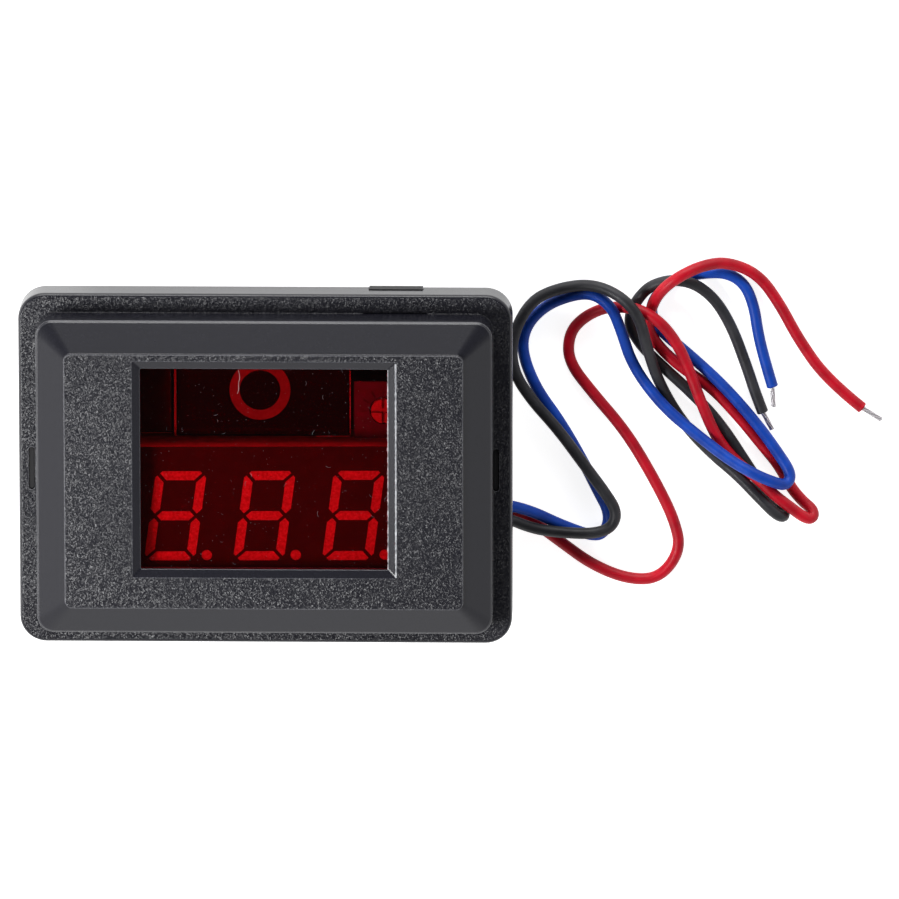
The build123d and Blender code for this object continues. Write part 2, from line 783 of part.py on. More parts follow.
def inner_wire(colour):
    y, z = lead_starts()[colour]
    joint_x, joint_y = joint_places()[colour]
    points = [(exit_x, y, z), (joint_x, joint_y, z), (joint_x, joint_y, board_rear_z - joint_height)]
    return tube("inner " + colour, points, lead_radius)


def tinned_end(points):
    end = Vector(*points[-1])
    way = end - Vector(*points[-2])
    wire = Cylinder(bare_radius, bare_length, align=(Align.CENTER, Align.CENTER, Align.MIN))
    return Plane(origin=end, z_dir=way) * wire


def save(name, shape):
    export_step(shape, f"parts/{name}.step")


save("bezel", bezel())
save("red_lens", red_lens())
save("rear_housing", rear_housing())
save("display_block", display_block())
for number, place in enumerate((-figure_spacing, 0, figure_spacing), 1):
    bars = [on_display(solid, display_front_z) for solid in figure(place)]
    save(f"digit_{number}_segments", Part() + bars)
save("display_pins", display_pins())
save("main_board", main_board())
save("converter_module", moulded_block(module_width, module_height, module_depth, module_x, module_y))
save("converter_pins", pins_at(module_pin_places(), board_front_z + part_standoff))
save("bridge_rectifier",
     moulded_block(rectifier_width, rectifier_height, rectifier_depth, rectifier_x, rectifier_y))
save("rectifier_pins", pins_at(rectifier_pin_places(), board_front_z + part_standoff))
save("trimmer_body", trimmer_body())
save("trimmer_rotor", trimmer_rotor())
save("trimmer_pins", pins_at(trimmer_pin_places(), board_front_z))
save("driver_chip", driver_chip())
save("driver_leads", driver_leads())
save("smoothing_capacitor", smoothing_capacitor())
save("voltage_regulator", voltage_regulator())
save("protection_diode", protection_diode())
save("chip_resistors", chip_resistors())
save("chip_capacitors", chip_capacitors())
save("digit_transistors", digit_transistors())
save("lead_solder_joints", lead_solder_joints())
save("board_screws", board_screws())
save("lead_grommet", lead_grommet())
for colour, route in (("red", red_route), ("black", black_route), ("blue", blue_route)):
    save("inner_wire_" + colour, inner_wire(colour))
    save("lead_" + colour, tube("lead " + colour, route, lead_radius))
    save("tinned_end_" + colour, tinned_end(route))
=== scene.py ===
import math
import random

import bmesh
import bpy
from mathutils import Matrix, Vector


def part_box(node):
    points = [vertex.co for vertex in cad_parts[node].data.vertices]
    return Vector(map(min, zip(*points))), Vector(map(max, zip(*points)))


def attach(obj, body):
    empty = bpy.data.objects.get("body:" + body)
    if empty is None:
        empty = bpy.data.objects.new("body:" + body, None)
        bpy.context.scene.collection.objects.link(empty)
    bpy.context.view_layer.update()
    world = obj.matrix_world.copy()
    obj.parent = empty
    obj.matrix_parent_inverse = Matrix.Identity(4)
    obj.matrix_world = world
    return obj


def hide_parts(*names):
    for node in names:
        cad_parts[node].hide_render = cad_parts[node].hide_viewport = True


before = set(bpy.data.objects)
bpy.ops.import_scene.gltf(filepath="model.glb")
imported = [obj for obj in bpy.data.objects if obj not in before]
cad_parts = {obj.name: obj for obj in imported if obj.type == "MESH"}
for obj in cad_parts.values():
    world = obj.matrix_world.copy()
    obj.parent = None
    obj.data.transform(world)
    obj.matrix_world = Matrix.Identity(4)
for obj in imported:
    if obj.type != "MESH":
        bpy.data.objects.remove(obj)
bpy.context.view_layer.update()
print("frame loaded, nodes:", len(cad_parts))

millimetre = 0.001
body = "meter"


# small helpers

def linear(hexColour):
    # sRGB hex to linear red, green, blue and alpha
    parts = [int(hexColour[i:i + 2], 16) / 255 for i in (1, 3, 5)]
    return tuple(p / 12.92 if p <= 0.04045 else ((p + 0.055) / 1.055) ** 2.4 for p in parts) + (1.0,)


def perSize(sizeMm):
    # texture scale that gives features of this size, on coordinates in metres
    return 1 / (sizeMm * millimetre)


def addNode(tree, kind, inputs=None, stops=(), **settings):
    # inputs take a number, a socket, a node (its first output) or a list of those; stops fill a colour ramp
    node = tree.nodes.new(kind)
    for name, value in settings.items():
        setattr(node, name, value)
    for name, value in (inputs or {}).items():
        for part in value if isinstance(value, list) else [value]:
            if isinstance(part, bpy.types.Node):
                part = part.outputs[0]
            if isinstance(part, bpy.types.NodeSocket):
                tree.links.new(part, node.inputs[name])
            else:
                node.inputs[name].default_value = part
    for number, (place, colour) in enumerate(stops):
        line = node.color_ramp.elements
        stop = line[number] if number < len(line) else line.new(place)
        stop.position = place
        stop.color = linear(colour) if isinstance(colour, str) else (colour, colour, colour, 1)
    return node


def newMaterial(name):
    material = bpy.data.materials.new(name)
    material.use_nodes = True
    tree = material.node_tree
    tree.nodes.clear()
    shader = addNode(tree, "ShaderNodeBsdfPrincipled")
    addNode(tree, "ShaderNodeOutputMaterial", {"Surface": shader})
    coords = addNode(tree, "ShaderNodeTexCoord").outputs["Object"]
    return material, tree, shader, coords


def join(tree, shader, links):
    for name, value in links.items():
        tree.links.new(value.outputs[0], shader.inputs[name])


def newPiece(name, mesh, material):
    piece = bpy.data.objects.new(name, mesh)
    bpy.context.scene.collection.objects.link(piece)
    mesh.materials.clear()
    mesh.materials.append(material)
    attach(piece, body)
    return piece


def meshFrom(bm, name, smooth):
    bmesh.ops.recalc_face_normals(bm, faces=bm.faces)
    mesh = bpy.data.meshes.new(name)
    bm.to_mesh(mesh)
    bm.free()
    if smooth:
        mesh.shade_smooth()
    return mesh


def newCurve(name, route, radiusMm, steps, rounding):
    # a smooth curve along a route in millimetres, bare where the radius is 0
    data = bpy.data.curves.new(name, "CURVE")
    data.dimensions = "3D"
    spline = data.splines.new("NURBS")
    spline.points.add(len(route) - 1)
    for point, place in zip(spline.points, route):
        point.co = [c * millimetre for c in place] + [1]
    spline.order_u = 3
    spline.use_endpoint_u = True
    spline.resolution_u = steps
    data.bevel_depth = radiusMm * millimetre
    data.bevel_resolution = rounding
    data.use_fill_caps = radiusMm > 0
    piece = bpy.data.objects.new(name, data)
    bpy.context.scene.collection.objects.link(piece)
    return piece


def lathe(bm, profile, around, middle, hollow):
    # turns a profile of radius and height about the middle, all in millimetres; a hollow one joins its last
    # ring to its first, a full one gets two caps
    rings = []
    for radius, height in profile:
        turns = [2 * math.pi * k / around for k in range(around)]
        rings.append([bm.verts.new((Vector(middle) + Vector((radius * math.cos(t), radius * math.sin(t), height)))
                                   * millimetre) for t in turns])
    for low, high in zip(rings, rings[1:] + rings[:1] if hollow else rings[1:]):
        for k in range(around):
            m = (k + 1) % around
            bm.faces.new((low[k], low[m], high[m], high[k]))
    if not hollow:
        bm.faces.new(rings[0])
        bm.faces.new(rings[-1])


def newTree(name, sizes):
    # a Geometry Nodes tree with one named input for each size
    tree = bpy.data.node_groups.new(name, "GeometryNodeTree")
    for key, value in sizes.items():
        kind = "NodeSocketInt" if isinstance(value, int) else "NodeSocketFloat"
        tree.interface.new_socket(key, in_out="INPUT", socket_type=kind)
    tree.interface.new_socket("Geometry", in_out="OUTPUT", socket_type="NodeSocketGeometry")
    return tree, addNode(tree, "NodeGroupInput").outputs


def closeTree(tree, geometry, material):
    real = addNode(tree, "GeometryNodeRealizeInstances", {"Geometry": geometry})
    painted = addNode(tree, "GeometryNodeSetMaterial", {"Geometry": real, "Material": material})
    addNode(tree, "NodeGroupOutput", {"Geometry": painted})


def grown(tree, sizes):
    # runs a tree once and keeps what it makes as a plain mesh
    host = bpy.data.objects.new(tree.name, bpy.data.meshes.new(tree.name))
    bpy.context.scene.collection.objects.link(host)
    modifier = host.modifiers.new("nodes", "NODES")
    modifier.node_group = tree
    for item in tree.interface.items_tree:
        if item.in_out == "INPUT":
            modifier[item.identifier] = sizes[item.name]
    bpy.context.view_layer.update()
    mesh = bpy.data.meshes.new_from_object(host.evaluated_get(bpy.context.evaluated_depsgraph_get()))
    host.modifiers.remove(modifier)
    bpy.data.objects.remove(host)
    return mesh


# camera, as the photograph was taken: nearly overhead, a little above the meter's top edge

view = {
    "place": (0.06323, 0.42613, 1.76301),
    "forward": (-0.023634, -0.235559, -0.971573),
    "up": (-0.004699, 0.971860, -0.235514),
    "focalMm": 640.8,
    "sensorMm": 36.0,
}


def placeCamera():
    data = bpy.data.cameras.new("camera")
    data.lens = view["focalMm"]
    data.sensor_width = view["sensorMm"]
    data.clip_start = 0.01
    camera = bpy.data.objects.new("camera", data)
    bpy.context.scene.collection.objects.link(camera)
    forward = Vector(view["forward"]).normalized()
    right = forward.cross(Vector(view["up"])).normalized()
    up = right.cross(forward)
    turn = Matrix((right, up, -forward)).transposed().to_4x4()
    camera.matrix_world = Matrix.Translation(view["place"]) @ turn
    bpy.context.scene.camera = camera


placeCamera()

# leads: their routes' points, in millimetres from the meter's rear face

leadRoutes = {
    "black": [
        (24.3, -8.2, 3.8), (26.6, -8.2, 3.8), (30.0, -9.9, 2.8), (33.8, -10.4, 2.4),
        (36.8, -10.5, 2.3), (38.8, -9.8, 2.2), (39.4, -8.0, 2.1), (38.0, -5.7, 2.1),
        (35.5, -2.3, 2.1), (32.7, 1.6, 2.1), (29.6, 5.1, 2.1), (27.55, 8.4, 2.1),
        (27.4, 12.2, 2.1), (29.5, 16.5, 2.1), (32.8, 18.1, 2.3), (36.5, 18.75, 3.1),
        (39.7, 17.8, 4.6), (41.9, 15.4, 4.7), (42.8, 11.2, 3.2), (44.2, 6.5, 1.0),
        (46.9, 1.9, 0.65), (50.2, -1.6, 0.65), (52.9, -3.7, 1.3), (55.2, -5.8, 2.7),
        (57.5, -8.1, 3.1), (58.5, -8.5, 2.0), (57.9, -7.6, 0.65), (56.3, -6.1, 0.65),
        (54.4, -3.2, 0.65), (51.1, 2.0, 0.65), (47.9, 5.5, 0.65), (44.3, 8.8, 0.65),
        (41.9, 11.2, 0.65), (40.6, 13.6, 0.65), (41.2, 15.9, 0.7), (43.2, 18.5, 1.7),
        (47.0, 19.2, 2.2), (50.1, 17.1, 1.2), (52.3, 13.4, 0.65), (54.1, 8.4, 0.65),
        (55.0, 5.6, 0.65), (55.8, 3.5, 0.65),
    ],
    "blue": [
        (24.3, -6.7, 3.8), (26.6, -6.7, 3.8), (29.7, -7.8, 2.6), (33.0, -9.7, 1.4),
        (36.9, -11.3, 0.7), (38.2, -10.45, 0.65), (38.5, -8.4, 0.65), (37.2, -5.9, 0.65),
        (35.6, -2.6, 0.65), (32.9, 2.2, 0.65), (30.1, 6.1, 0.65), (28.5, 10.4, 0.65),
        (29.0, 13.3, 0.65), (31.2, 15.7, 0.8), (34.2, 17.1, 1.6), (36.6, 17.6, 2.8),
        (38.7, 16.3, 3.5), (39.8, 13.4, 2.8), (41.1, 8.9, 1.6), (44.5, 4.4, 2.2),
        (48.5, 1.1, 2.6), (52.0, -1.5, 3.3), (55.0, -3.1, 4.0), (57.1, -4.1, 3.5),
        (58.5, -4.7, 2.7), (59.2, -3.6, 1.9), (57.5, -1.0, 1.5), (55.2, 2.2, 1.5),
        (51.6, 6.4, 1.3), (47.6, 10.0, 0.8), (44.1, 12.9, 0.65), (43.2, 14.6, 0.65),
        (43.3, 16.1, 0.65), (44.6, 17.9, 0.65), (46.2, 18.9, 0.65), (48.9, 19.5, 0.65),
        (51.6, 19.6, 0.65), (53.7, 18.4, 0.65), (54.8, 15.8, 0.65), (55.3, 12.4, 0.65),
        (56.1, 9.2, 0.65), (56.9, 6.5, 0.65),
    ],
    "red": [
        (24.3, -7.6, 2.4), (26.6, -7.6, 2.4), (29.3, -9.0, 1.0), (32.9, -11.8, 0.65),
        (36.5, -14.5, 0.65), (40.6, -16.2, 0.65), (44.2, -16.1, 0.65), (46.6, -12.8, 0.65),
        (45.9, -9.3, 0.65), (43.7, -4.7, 0.65), (40.4, 1.0, 0.65), (36.6, 5.5, 0.65),
        (33.8, 9.2, 0.65), (33.9, 12.4, 0.65), (35.5, 14.3, 0.65), (37.9, 15.6, 1.3),
        (39.9, 15.9, 2.3), (42.0, 15.9, 3.4), (44.4, 14.4, 3.7), (46.3, 11.6, 2.8),
        (47.6, 8.4, 2.4), (48.8, 5.1, 2.5), (50.6, 0.5, 1.5), (52.9, -2.3, 1.5),
        (55.3, -3.9, 2.4), (57.1, -5.7, 2.7), (58.7, -7.0, 2.6), (60.9, -8.8, 2.0),
        (61.7, -8.6, 1.5), (61.5, -7.8, 1.0), (60.4, -7.0, 0.65), (59.0, -5.3, 0.65),
        (57.7, -2.8, 0.65), (55.9, -0.6, 0.65), (53.2, 2.8, 0.65), (50.0, 6.3, 0.65),
        (46.5, 8.6, 0.65), (43.8, 11.2, 0.65), (42.7, 13.5, 1.0), (43.2, 15.7, 1.8),
        (44.2, 18.0, 3.4), (46.3, 19.9, 4.3), (48.9, 20.9, 3.0), (51.8, 21.1, 1.8),
        (55.3, 19.4, 0.65), (57.7, 16.0, 0.65), (59.9, 11.8, 0.65), (63.1, 7.2, 0.65),
        (67.0, 4.0, 0.65),
    ],
}

lead = {
    "radiusMm": 0.65,
    "steps": 10,
    "rounding": 6,
    "lengths": {"black": 0.148, "blue": 0.133, "red": 0.166},      # metres
    "colours": {
        "black": ("#38383c", "#28282c"),
        "blue": ("#104cbe", "#0a3a9e"),
        "red": ("#d00a26", "#ae061e"),
    },
    # the cut end's profile, radius and height in millimetres
    "cutEnd": ((0.64, -0.1), (0.66, 0.0), (0.645, 0.1), (0.58, 0.17), (0.44, 0.2), (0.26, 0.18)),
    "cutEndSides": 24,
}

bareEnd = {
    "strandRadiusMm": 0.095,
    "turnsPerMm": 0.13,
    "lengthsMm": {"black": 2.4, "blue": 2.5, "red": 2.7},
    "turned": {"black": 6.7, "blue": -12.8, "red": 7.3},   # degrees, seen from above
}


def extrudedPvc(colour):
    # PVC extruded on the strands: even gloss, a slightly uneven skin and faint mottled colour
    material, tree, shader, coords = newMaterial("extrudedPvc_" + colour)
    light, deep = lead["colours"][colour]
    blotch = addNode(tree, "ShaderNodeTexNoise", {"Vector": coords, "Scale": perSize(2.5), "Detail": 3.0})
    tint = addNode(tree, "ShaderNodeValToRGB", {"Fac": blotch}, stops=((0.35, deep), (0.65, light)))
    fine = addNode(tree, "ShaderNodeTexNoise", {"Vector": coords, "Scale": perSize(0.25), "Detail": 2.0})
    bump = addNode(tree, "ShaderNodeBump", {"Height": fine, "Strength": 0.25, "Distance": 0.03 * millimetre})
    rough = addNode(tree, "ShaderNodeMapRange", {"Value": fine, "To Min": 0.38, "To Max": 0.52})
    join(tree, shader, {"Base Color": tint, "Normal": bump, "Roughness": rough})
    shader.inputs["IOR"].default_value = 1.53
    shader.inputs["Specular IOR Level"].default_value = 0.3
    return material


def tinnedStrand():
    # copper drawn and hot tinned: pale grey metal, dull, a little streaked
    material, tree, shader, coords = newMaterial("tinnedStrand")
    noise = addNode(tree, "ShaderNodeTexNoise", {"Vector": coords, "Scale": perSize(0.15), "Detail": 3.0})
    tint = addNode(tree, "ShaderNodeValToRGB", {"Fac": noise}, stops=((0.3, "#c6c2c6"), (0.7, "#f0edf0")))
    join(tree, shader, {"Base Color": tint})
    shader.inputs["Metallic"].default_value = 1.0
    shader.inputs["Roughness"].default_value = 0.45
    return material


def leadEnd(colour):
    # the last point of the lead and its direction there, read from the bare curve
    line = newCurve("line_" + colour, leadRoutes[colour], 0, lead["steps"], lead["rounding"])
    bpy.context.view_layer.update()
    mesh = bpy.data.meshes.new_from_object(line.evaluated_get(bpy.context.evaluated_depsgraph_get()))
    spots = [v.co.copy() for v in mesh.vertices]
    bpy.data.objects.remove(line)
    bpy.data.meshes.remove(mesh)
    return spots[-1], (spots[-1] - spots[-2]).normalized()


def along(end, way):
    # carries what is made along +Z to the lead's end
    return Matrix.Translation(end) @ way.to_track_quat("Z", "Y").to_matrix().to_4x4()


def strandTree(material):
    # six strands laid round a straight one, all cut square
    sizes = {"Length": 0.0, "Strand Radius": 0.0, "Turns": 0.0, "Lay Radius": 0.0, "Outer Strands": 6}
    tree, given = newTree("strandBundle", sizes)
    spiral = addNode(tree, "GeometryNodeCurveSpiral", {
        "Resolution": 24, "Rotations": given["Turns"], "Start Radius": given["Lay Radius"],
        "End Radius": given["Lay Radius"], "Height": given["Length"]})
    step = addNode(tree, "ShaderNodeMath", {0: 2 * math.pi, 1: given["Outer Strands"]}, operation="DIVIDE")
    index = addNode(tree, "GeometryNodeInputIndex")
    angle = addNode(tree, "ShaderNodeMath", {0: index, 1: step}, operation="MULTIPLY")
    turn = addNode(tree, "ShaderNodeCombineXYZ", {"Z": angle})
    rotation = addNode(tree, "FunctionNodeEulerToRotation", {"Euler": turn})
    points = addNode(tree, "GeometryNodePoints", {"Count": given["Outer Strands"]})
    outer = addNode(tree, "GeometryNodeInstanceOnPoints",
                    {"Points": points, "Instance": spiral, "Rotation": rotation})
    far = addNode(tree, "ShaderNodeCombineXYZ", {"Z": given["Length"]})
    core = addNode(tree, "GeometryNodeCurvePrimitiveLine", {"End": far})
    curves = addNode(tree, "GeometryNodeJoinGeometry", {"Geometry": [outer, core]})
    real = addNode(tree, "GeometryNodeRealizeInstances", {"Geometry": curves})
    ring = addNode(tree, "GeometryNodeCurvePrimitiveCircle", {"Resolution": 10, "Radius": given["Strand Radius"]})
    tubes = addNode(tree, "GeometryNodeCurveToMesh", {"Curve": real, "Profile Curve": ring, "Fill Caps": True})
    closeTree(tree, tubes, material)
    return tree


def cutEndMesh(name):
    # the sleeve's cut end: a short ring rounded inwards to the strands
    bm = bmesh.new()
    lathe(bm, lead["cutEnd"], lead["cutEndSides"], (0, 0, 0), False)
    return meshFrom(bm, name, True)


def makeLead(colour, strandNodes, strandMaterial):
    pvc = extrudedPvc(colour)
    sleeve = newCurve("leadSleeve_" + colour, leadRoutes[colour], lead["radiusMm"], lead["steps"],
                      lead["rounding"])
    sleeve.data.materials.append(pvc)
    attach(sleeve, body)
    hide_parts("lead_" + colour)
    end, way = leadEnd(colour)
    lip = cutEndMesh("cutEnd_" + colour)
    lip.transform(along(end, way))
    lipPiece = newPiece("cutEnd_" + colour, lip, pvc)
    length = bareEnd["lengthsMm"][colour]
    small = bareEnd["strandRadiusMm"] * millimetre
    strands = grown(strandNodes, {"Length": length * millimetre, "Strand Radius": small, "Lay Radius": 2 * small,
                                  "Turns": length * bareEnd["turnsPerMm"], "Outer Strands": 6})
    turned = Matrix.Rotation(math.radians(bareEnd["turned"][colour]), 3, "Z") @ way
    strands.transform(along(end, turned))
    strandPiece = newPiece("strands_" + colour, strands, strandMaterial)
    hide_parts("tinned_end_" + colour)


strandMaterial = tinnedStrand()
strandNodes = strandTree(strandMaterial)
for colour in ("black", "blue", "red"):
    makeLead(colour, strandNodes, strandMaterial)
print("leads made")

# materials of the meter's own pieces

bezelSkin = {
    "colours": ("#17171e", "#1f1f27"),
    "grainMm": 0.135,
    "grainDeepMm": 0.045,
    "facetTilt": 0.66,
    "patchMm": 8.0,
    "edgeMm": 0.18,
    # paler colour on the convex edges: partly rubbed wear, partly a painted highlight
    "rubbedEdgeAndHighlight": "#6c6c72",
}


def sparkErodedAbs():
    # ABS moulded in a spark-eroded tool: coarse sparkling grain on the flats, plain satin on the slopes and
    # walls, and convex edges painted paler, partly as rubbed wear and partly as a painted highlight
    material, tree, shader, coords = newMaterial("sparkErodedAbs")
    facing = addNode(tree, "ShaderNodeTexCoord").outputs["Normal"]
    up = addNode(tree, "ShaderNodeSeparateXYZ", {"Vector": facing}).outputs["Z"]
    flat = addNode(tree, "ShaderNodeMapRange", {"Value": up, "From Min": 0.95, "From Max": 0.98})
    pits = addNode(tree, "ShaderNodeTexVoronoi", {"Vector": coords, "Scale": perSize(bezelSkin["grainMm"])},
                   feature="SMOOTH_F1")
    lumps = addNode(tree, "ShaderNodeTexNoise",
                    {"Vector": coords, "Scale": perSize(1.3 * bezelSkin["grainMm"]), "Detail": 3.0})
    grain = addNode(tree, "ShaderNodeMath", {0: pits, 1: lumps}, operation="ADD")
    patch = addNode(tree, "ShaderNodeTexNoise", {"Vector": coords, "Scale": perSize(bezelSkin["patchMm"])})
    share = addNode(tree, "ShaderNodeMapRange", {"Value": patch, "From Min": 0.35, "From Max": 0.65,
                                                "To Min": 0.65, "To Max": 1.0})
    depth = addNode(tree, "ShaderNodeMath", {0: flat, 1: share}, operation="MULTIPLY")
    fine = addNode(tree, "ShaderNodeTexNoise", {"Vector": coords, "Scale": perSize(0.12), "Detail": 2.0})
    edge = addNode(tree, "ShaderNodeBevel", {"Radius": bezelSkin["edgeMm"] * millimetre}, samples=6)
    satin = addNode(tree, "ShaderNodeBump", {"Height": fine, "Strength": 0.12, "Distance": 0.02 * millimetre,
                                            "Normal": edge})
    bump = addNode(tree, "ShaderNodeBump", {"Height": grain, "Strength": depth, "Normal": satin,
                                           "Distance": bezelSkin["grainDeepMm"] * millimetre})
    # every grain is a small facet that leans its own way
    cells = addNode(tree, "ShaderNodeTexVoronoi", {"Vector": coords, "Scale": perSize(bezelSkin["grainMm"])})
    lean = addNode(tree, "ShaderNodeVectorMath", {0: cells.outputs["Color"], 1: (0.5, 0.5, 0.5)},
                   operation="SUBTRACT")
    amount = addNode(tree, "ShaderNodeMath", {0: depth, 1: bezelSkin["facetTilt"]}, operation="MULTIPLY")
    scaled = addNode(tree, "ShaderNodeVectorMath", {0: lean, "Scale": amount}, operation="SCALE")
    leaning = addNode(tree, "ShaderNodeVectorMath", {0: bump, 1: scaled}, operation="ADD")
    facets = addNode(tree, "ShaderNodeVectorMath", {0: leaning}, operation="NORMALIZE")
    rough = addNode(tree, "ShaderNodeMapRange", {"Value": flat, "To Min": 0.22, "To Max": 0.34})
    normal = addNode(tree, "ShaderNodeNewGeometry").outputs["Normal"]
    level = addNode(tree, "ShaderNodeVectorMath", {0: edge, 1: normal}, operation="DOT_PRODUCT").outputs["Value"]
    clear = addNode(tree, "ShaderNodeAmbientOcclusion", {"Distance": 0.8 * millimetre}, samples=6).outputs["AO"]
    # convex edges clear of recesses get the paler colour: rubbed wear and a painted highlight
    bent = addNode(tree, "ShaderNodeMapRange", {"Value": level, "From Min": 0.998, "From Max": 0.95})
    free = addNode(tree, "ShaderNodeMapRange", {"Value": clear, "From Min": 0.75, "From Max": 0.95})
    edgeWearAndHighlight = addNode(tree, "ShaderNodeMath", {0: bent, 1: free}, operation="MULTIPLY")
    tint = addNode(tree, "ShaderNodeValToRGB", {"Fac": lumps},
                   stops=((0.3, bezelSkin["colours"][0]), (0.7, bezelSkin["colours"][1])))
    paler = addNode(tree, "ShaderNodeMix", {0: edgeWearAndHighlight, 6: tint, 7: linear(bezelSkin["rubbedEdgeAndHighlight"])}, data_type="RGBA")
    tree.links.new(paler.outputs[2], shader.inputs["Base Color"])
    join(tree, shader, {"Roughness": rough, "Normal": facets})
    shader.inputs["IOR"].default_value = 1.53
    return material


def satinAbs():
    # ABS moulded in a plain tool: dull satin, so it stays black beside the bezel
    material, tree, shader, coords = newMaterial("satinAbs")
    fine = addNode(tree, "ShaderNodeTexNoise", {"Vector": coords, "Scale": perSize(0.2), "Detail": 3.0})
    flow = addNode(tree, "ShaderNodeTexNoise", {"Vector": coords, "Scale": perSize(9), "Detail": 2.0})
    edge = addNode(tree, "ShaderNodeBevel", {"Radius": 0.12 * millimetre}, samples=6)
    bump = addNode(tree, "ShaderNodeBump", {"Height": fine, "Strength": 0.3, "Distance": 0.03 * millimetre,
                                           "Normal": edge})
    rough = addNode(tree, "ShaderNodeMapRange", {"Value": flow, "To Min": 0.52, "To Max": 0.64})
    tint = addNode(tree, "ShaderNodeValToRGB", {"Fac": flow}, stops=((0.3, "#161618"), (0.7, "#1c1c1f")))
    join(tree, shader, {"Base Color": tint, "Roughness": rough, "Normal": bump})
    shader.inputs["IOR"].default_value = 1.53
    shader.inputs["Specular IOR Level"].default_value = 0.3
    return material


def redAcrylic():
    # cast acrylic sheet, sawn and laser polished on its face only: deep clear red, with matt sides painted near
    # black as painted shade where they sit against the bezel.
    # For lamps and bounced light it is a thin red film, so they reach what lies behind it.
    material, tree, shader, coords = newMaterial("redAcrylic")
    facing = addNode(tree, "ShaderNodeTexCoord").outputs["Normal"]
    up = addNode(tree, "ShaderNodeSeparateXYZ", {"Vector": facing}).outputs["Z"]
    level = addNode(tree, "ShaderNodeMath", {0: up}, operation="ABSOLUTE")
    wipe = addNode(tree, "ShaderNodeTexNoise", {"Vector": coords, "Scale": perSize(3.0), "Detail": 4.0})
    haze = addNode(tree, "ShaderNodeMapRange", {"Value": wipe, "From Min": 0.45, "From Max": 0.75,
                                               "To Min": 0.0, "To Max": 0.05})
    sawn = addNode(tree, "ShaderNodeMapRange", {"Value": level, "From Min": 0.7, "From Max": 0.4,
                                               "To Min": 0.0, "To Max": 0.6})
    rough = addNode(tree, "ShaderNodeMath", {0: haze, 1: sawn}, operation="ADD")
    # the sawn sides get a near black colour: painted shade
    tint = addNode(tree, "ShaderNodeValToRGB", {"Fac": level}, stops=((0.4, "#160305"), (0.7, "#f94252")))
    clear = addNode(tree, "ShaderNodeMapRange", {"Value": level, "From Min": 0.4, "From Max": 0.7})
    join(tree, shader, {"Base Color": tint, "Roughness": rough, "Transmission Weight": clear})
    shader.inputs["IOR"].default_value = 1.49
    path = addNode(tree, "ShaderNodeLightPath")
    lamp = addNode(tree, "ShaderNodeMath", {0: path.outputs["Is Shadow Ray"], 1: path.outputs["Is Diffuse Ray"]},
                   operation="MAXIMUM")
    film = addNode(tree, "ShaderNodeBsdfTransparent", {"Color": (0.975, 0.2345, 0.29, 1)})
    both = addNode(tree, "ShaderNodeMixShader", {0: lamp, 1: shader, 2: film})
    tree.links.new(both.outputs[0], tree.nodes["Material Output"].inputs["Surface"])
    return material


def paintedShell():
    # polycarbonate shell, moulded pale, with grey paint rolled on its face only: the sides stay light
    material, tree, shader, coords = newMaterial("paintedShell")
    facing = addNode(tree, "ShaderNodeTexCoord").outputs["Normal"]
    up = addNode(tree, "ShaderNodeSeparateXYZ", {"Vector": facing}).outputs["Z"]
    noise = addNode(tree, "ShaderNodeTexNoise", {"Vector": coords, "Scale": perSize(1.5), "Detail": 4.0})
    paint = addNode(tree, "ShaderNodeValToRGB", {"Fac": noise}, stops=((0.3, "#2a2a2b"), (0.7, "#303031")))
    bare = addNode(tree, "ShaderNodeValToRGB", {"Fac": noise}, stops=((0.3, "#a4a29e"), (0.7, "#c4c2be")))
    face = addNode(tree, "ShaderNodeMapRange", {"Value": up, "From Min": 0.5, "From Max": 0.9})
    both = addNode(tree, "ShaderNodeMix", {0: face, 6: bare, 7: paint}, data_type="RGBA")
    tree.links.new(both.outputs[2], shader.inputs["Base Color"])
    shader.inputs["Roughness"].default_value = 0.8
    shader.inputs["Specular IOR Level"].default_value = 0.15
    return material


def mottled(name, light, dark, sizeMm, roughness, metallic=0.0, bumpMm=0.01):
    # a finish with its own mottle and a fine skin
    material, tree, shader, coords = newMaterial(name)
    noise = addNode(tree, "ShaderNodeTexNoise", {"Vector": coords, "Scale": perSize(sizeMm), "Detail": 3.0})
    tint = addNode(tree, "ShaderNodeValToRGB", {"Fac": noise}, stops=((0.3, dark), (0.7, light)))
    bump = addNode(tree, "ShaderNodeBump", {"Height": noise, "Strength": 0.4, "Distance": bumpMm * millimetre})
    join(tree, shader, {"Base Color": tint, "Normal": bump})
    shader.inputs["Roughness"].default_value = roughness
    shader.inputs["Metallic"].default_value = metallic
    return material


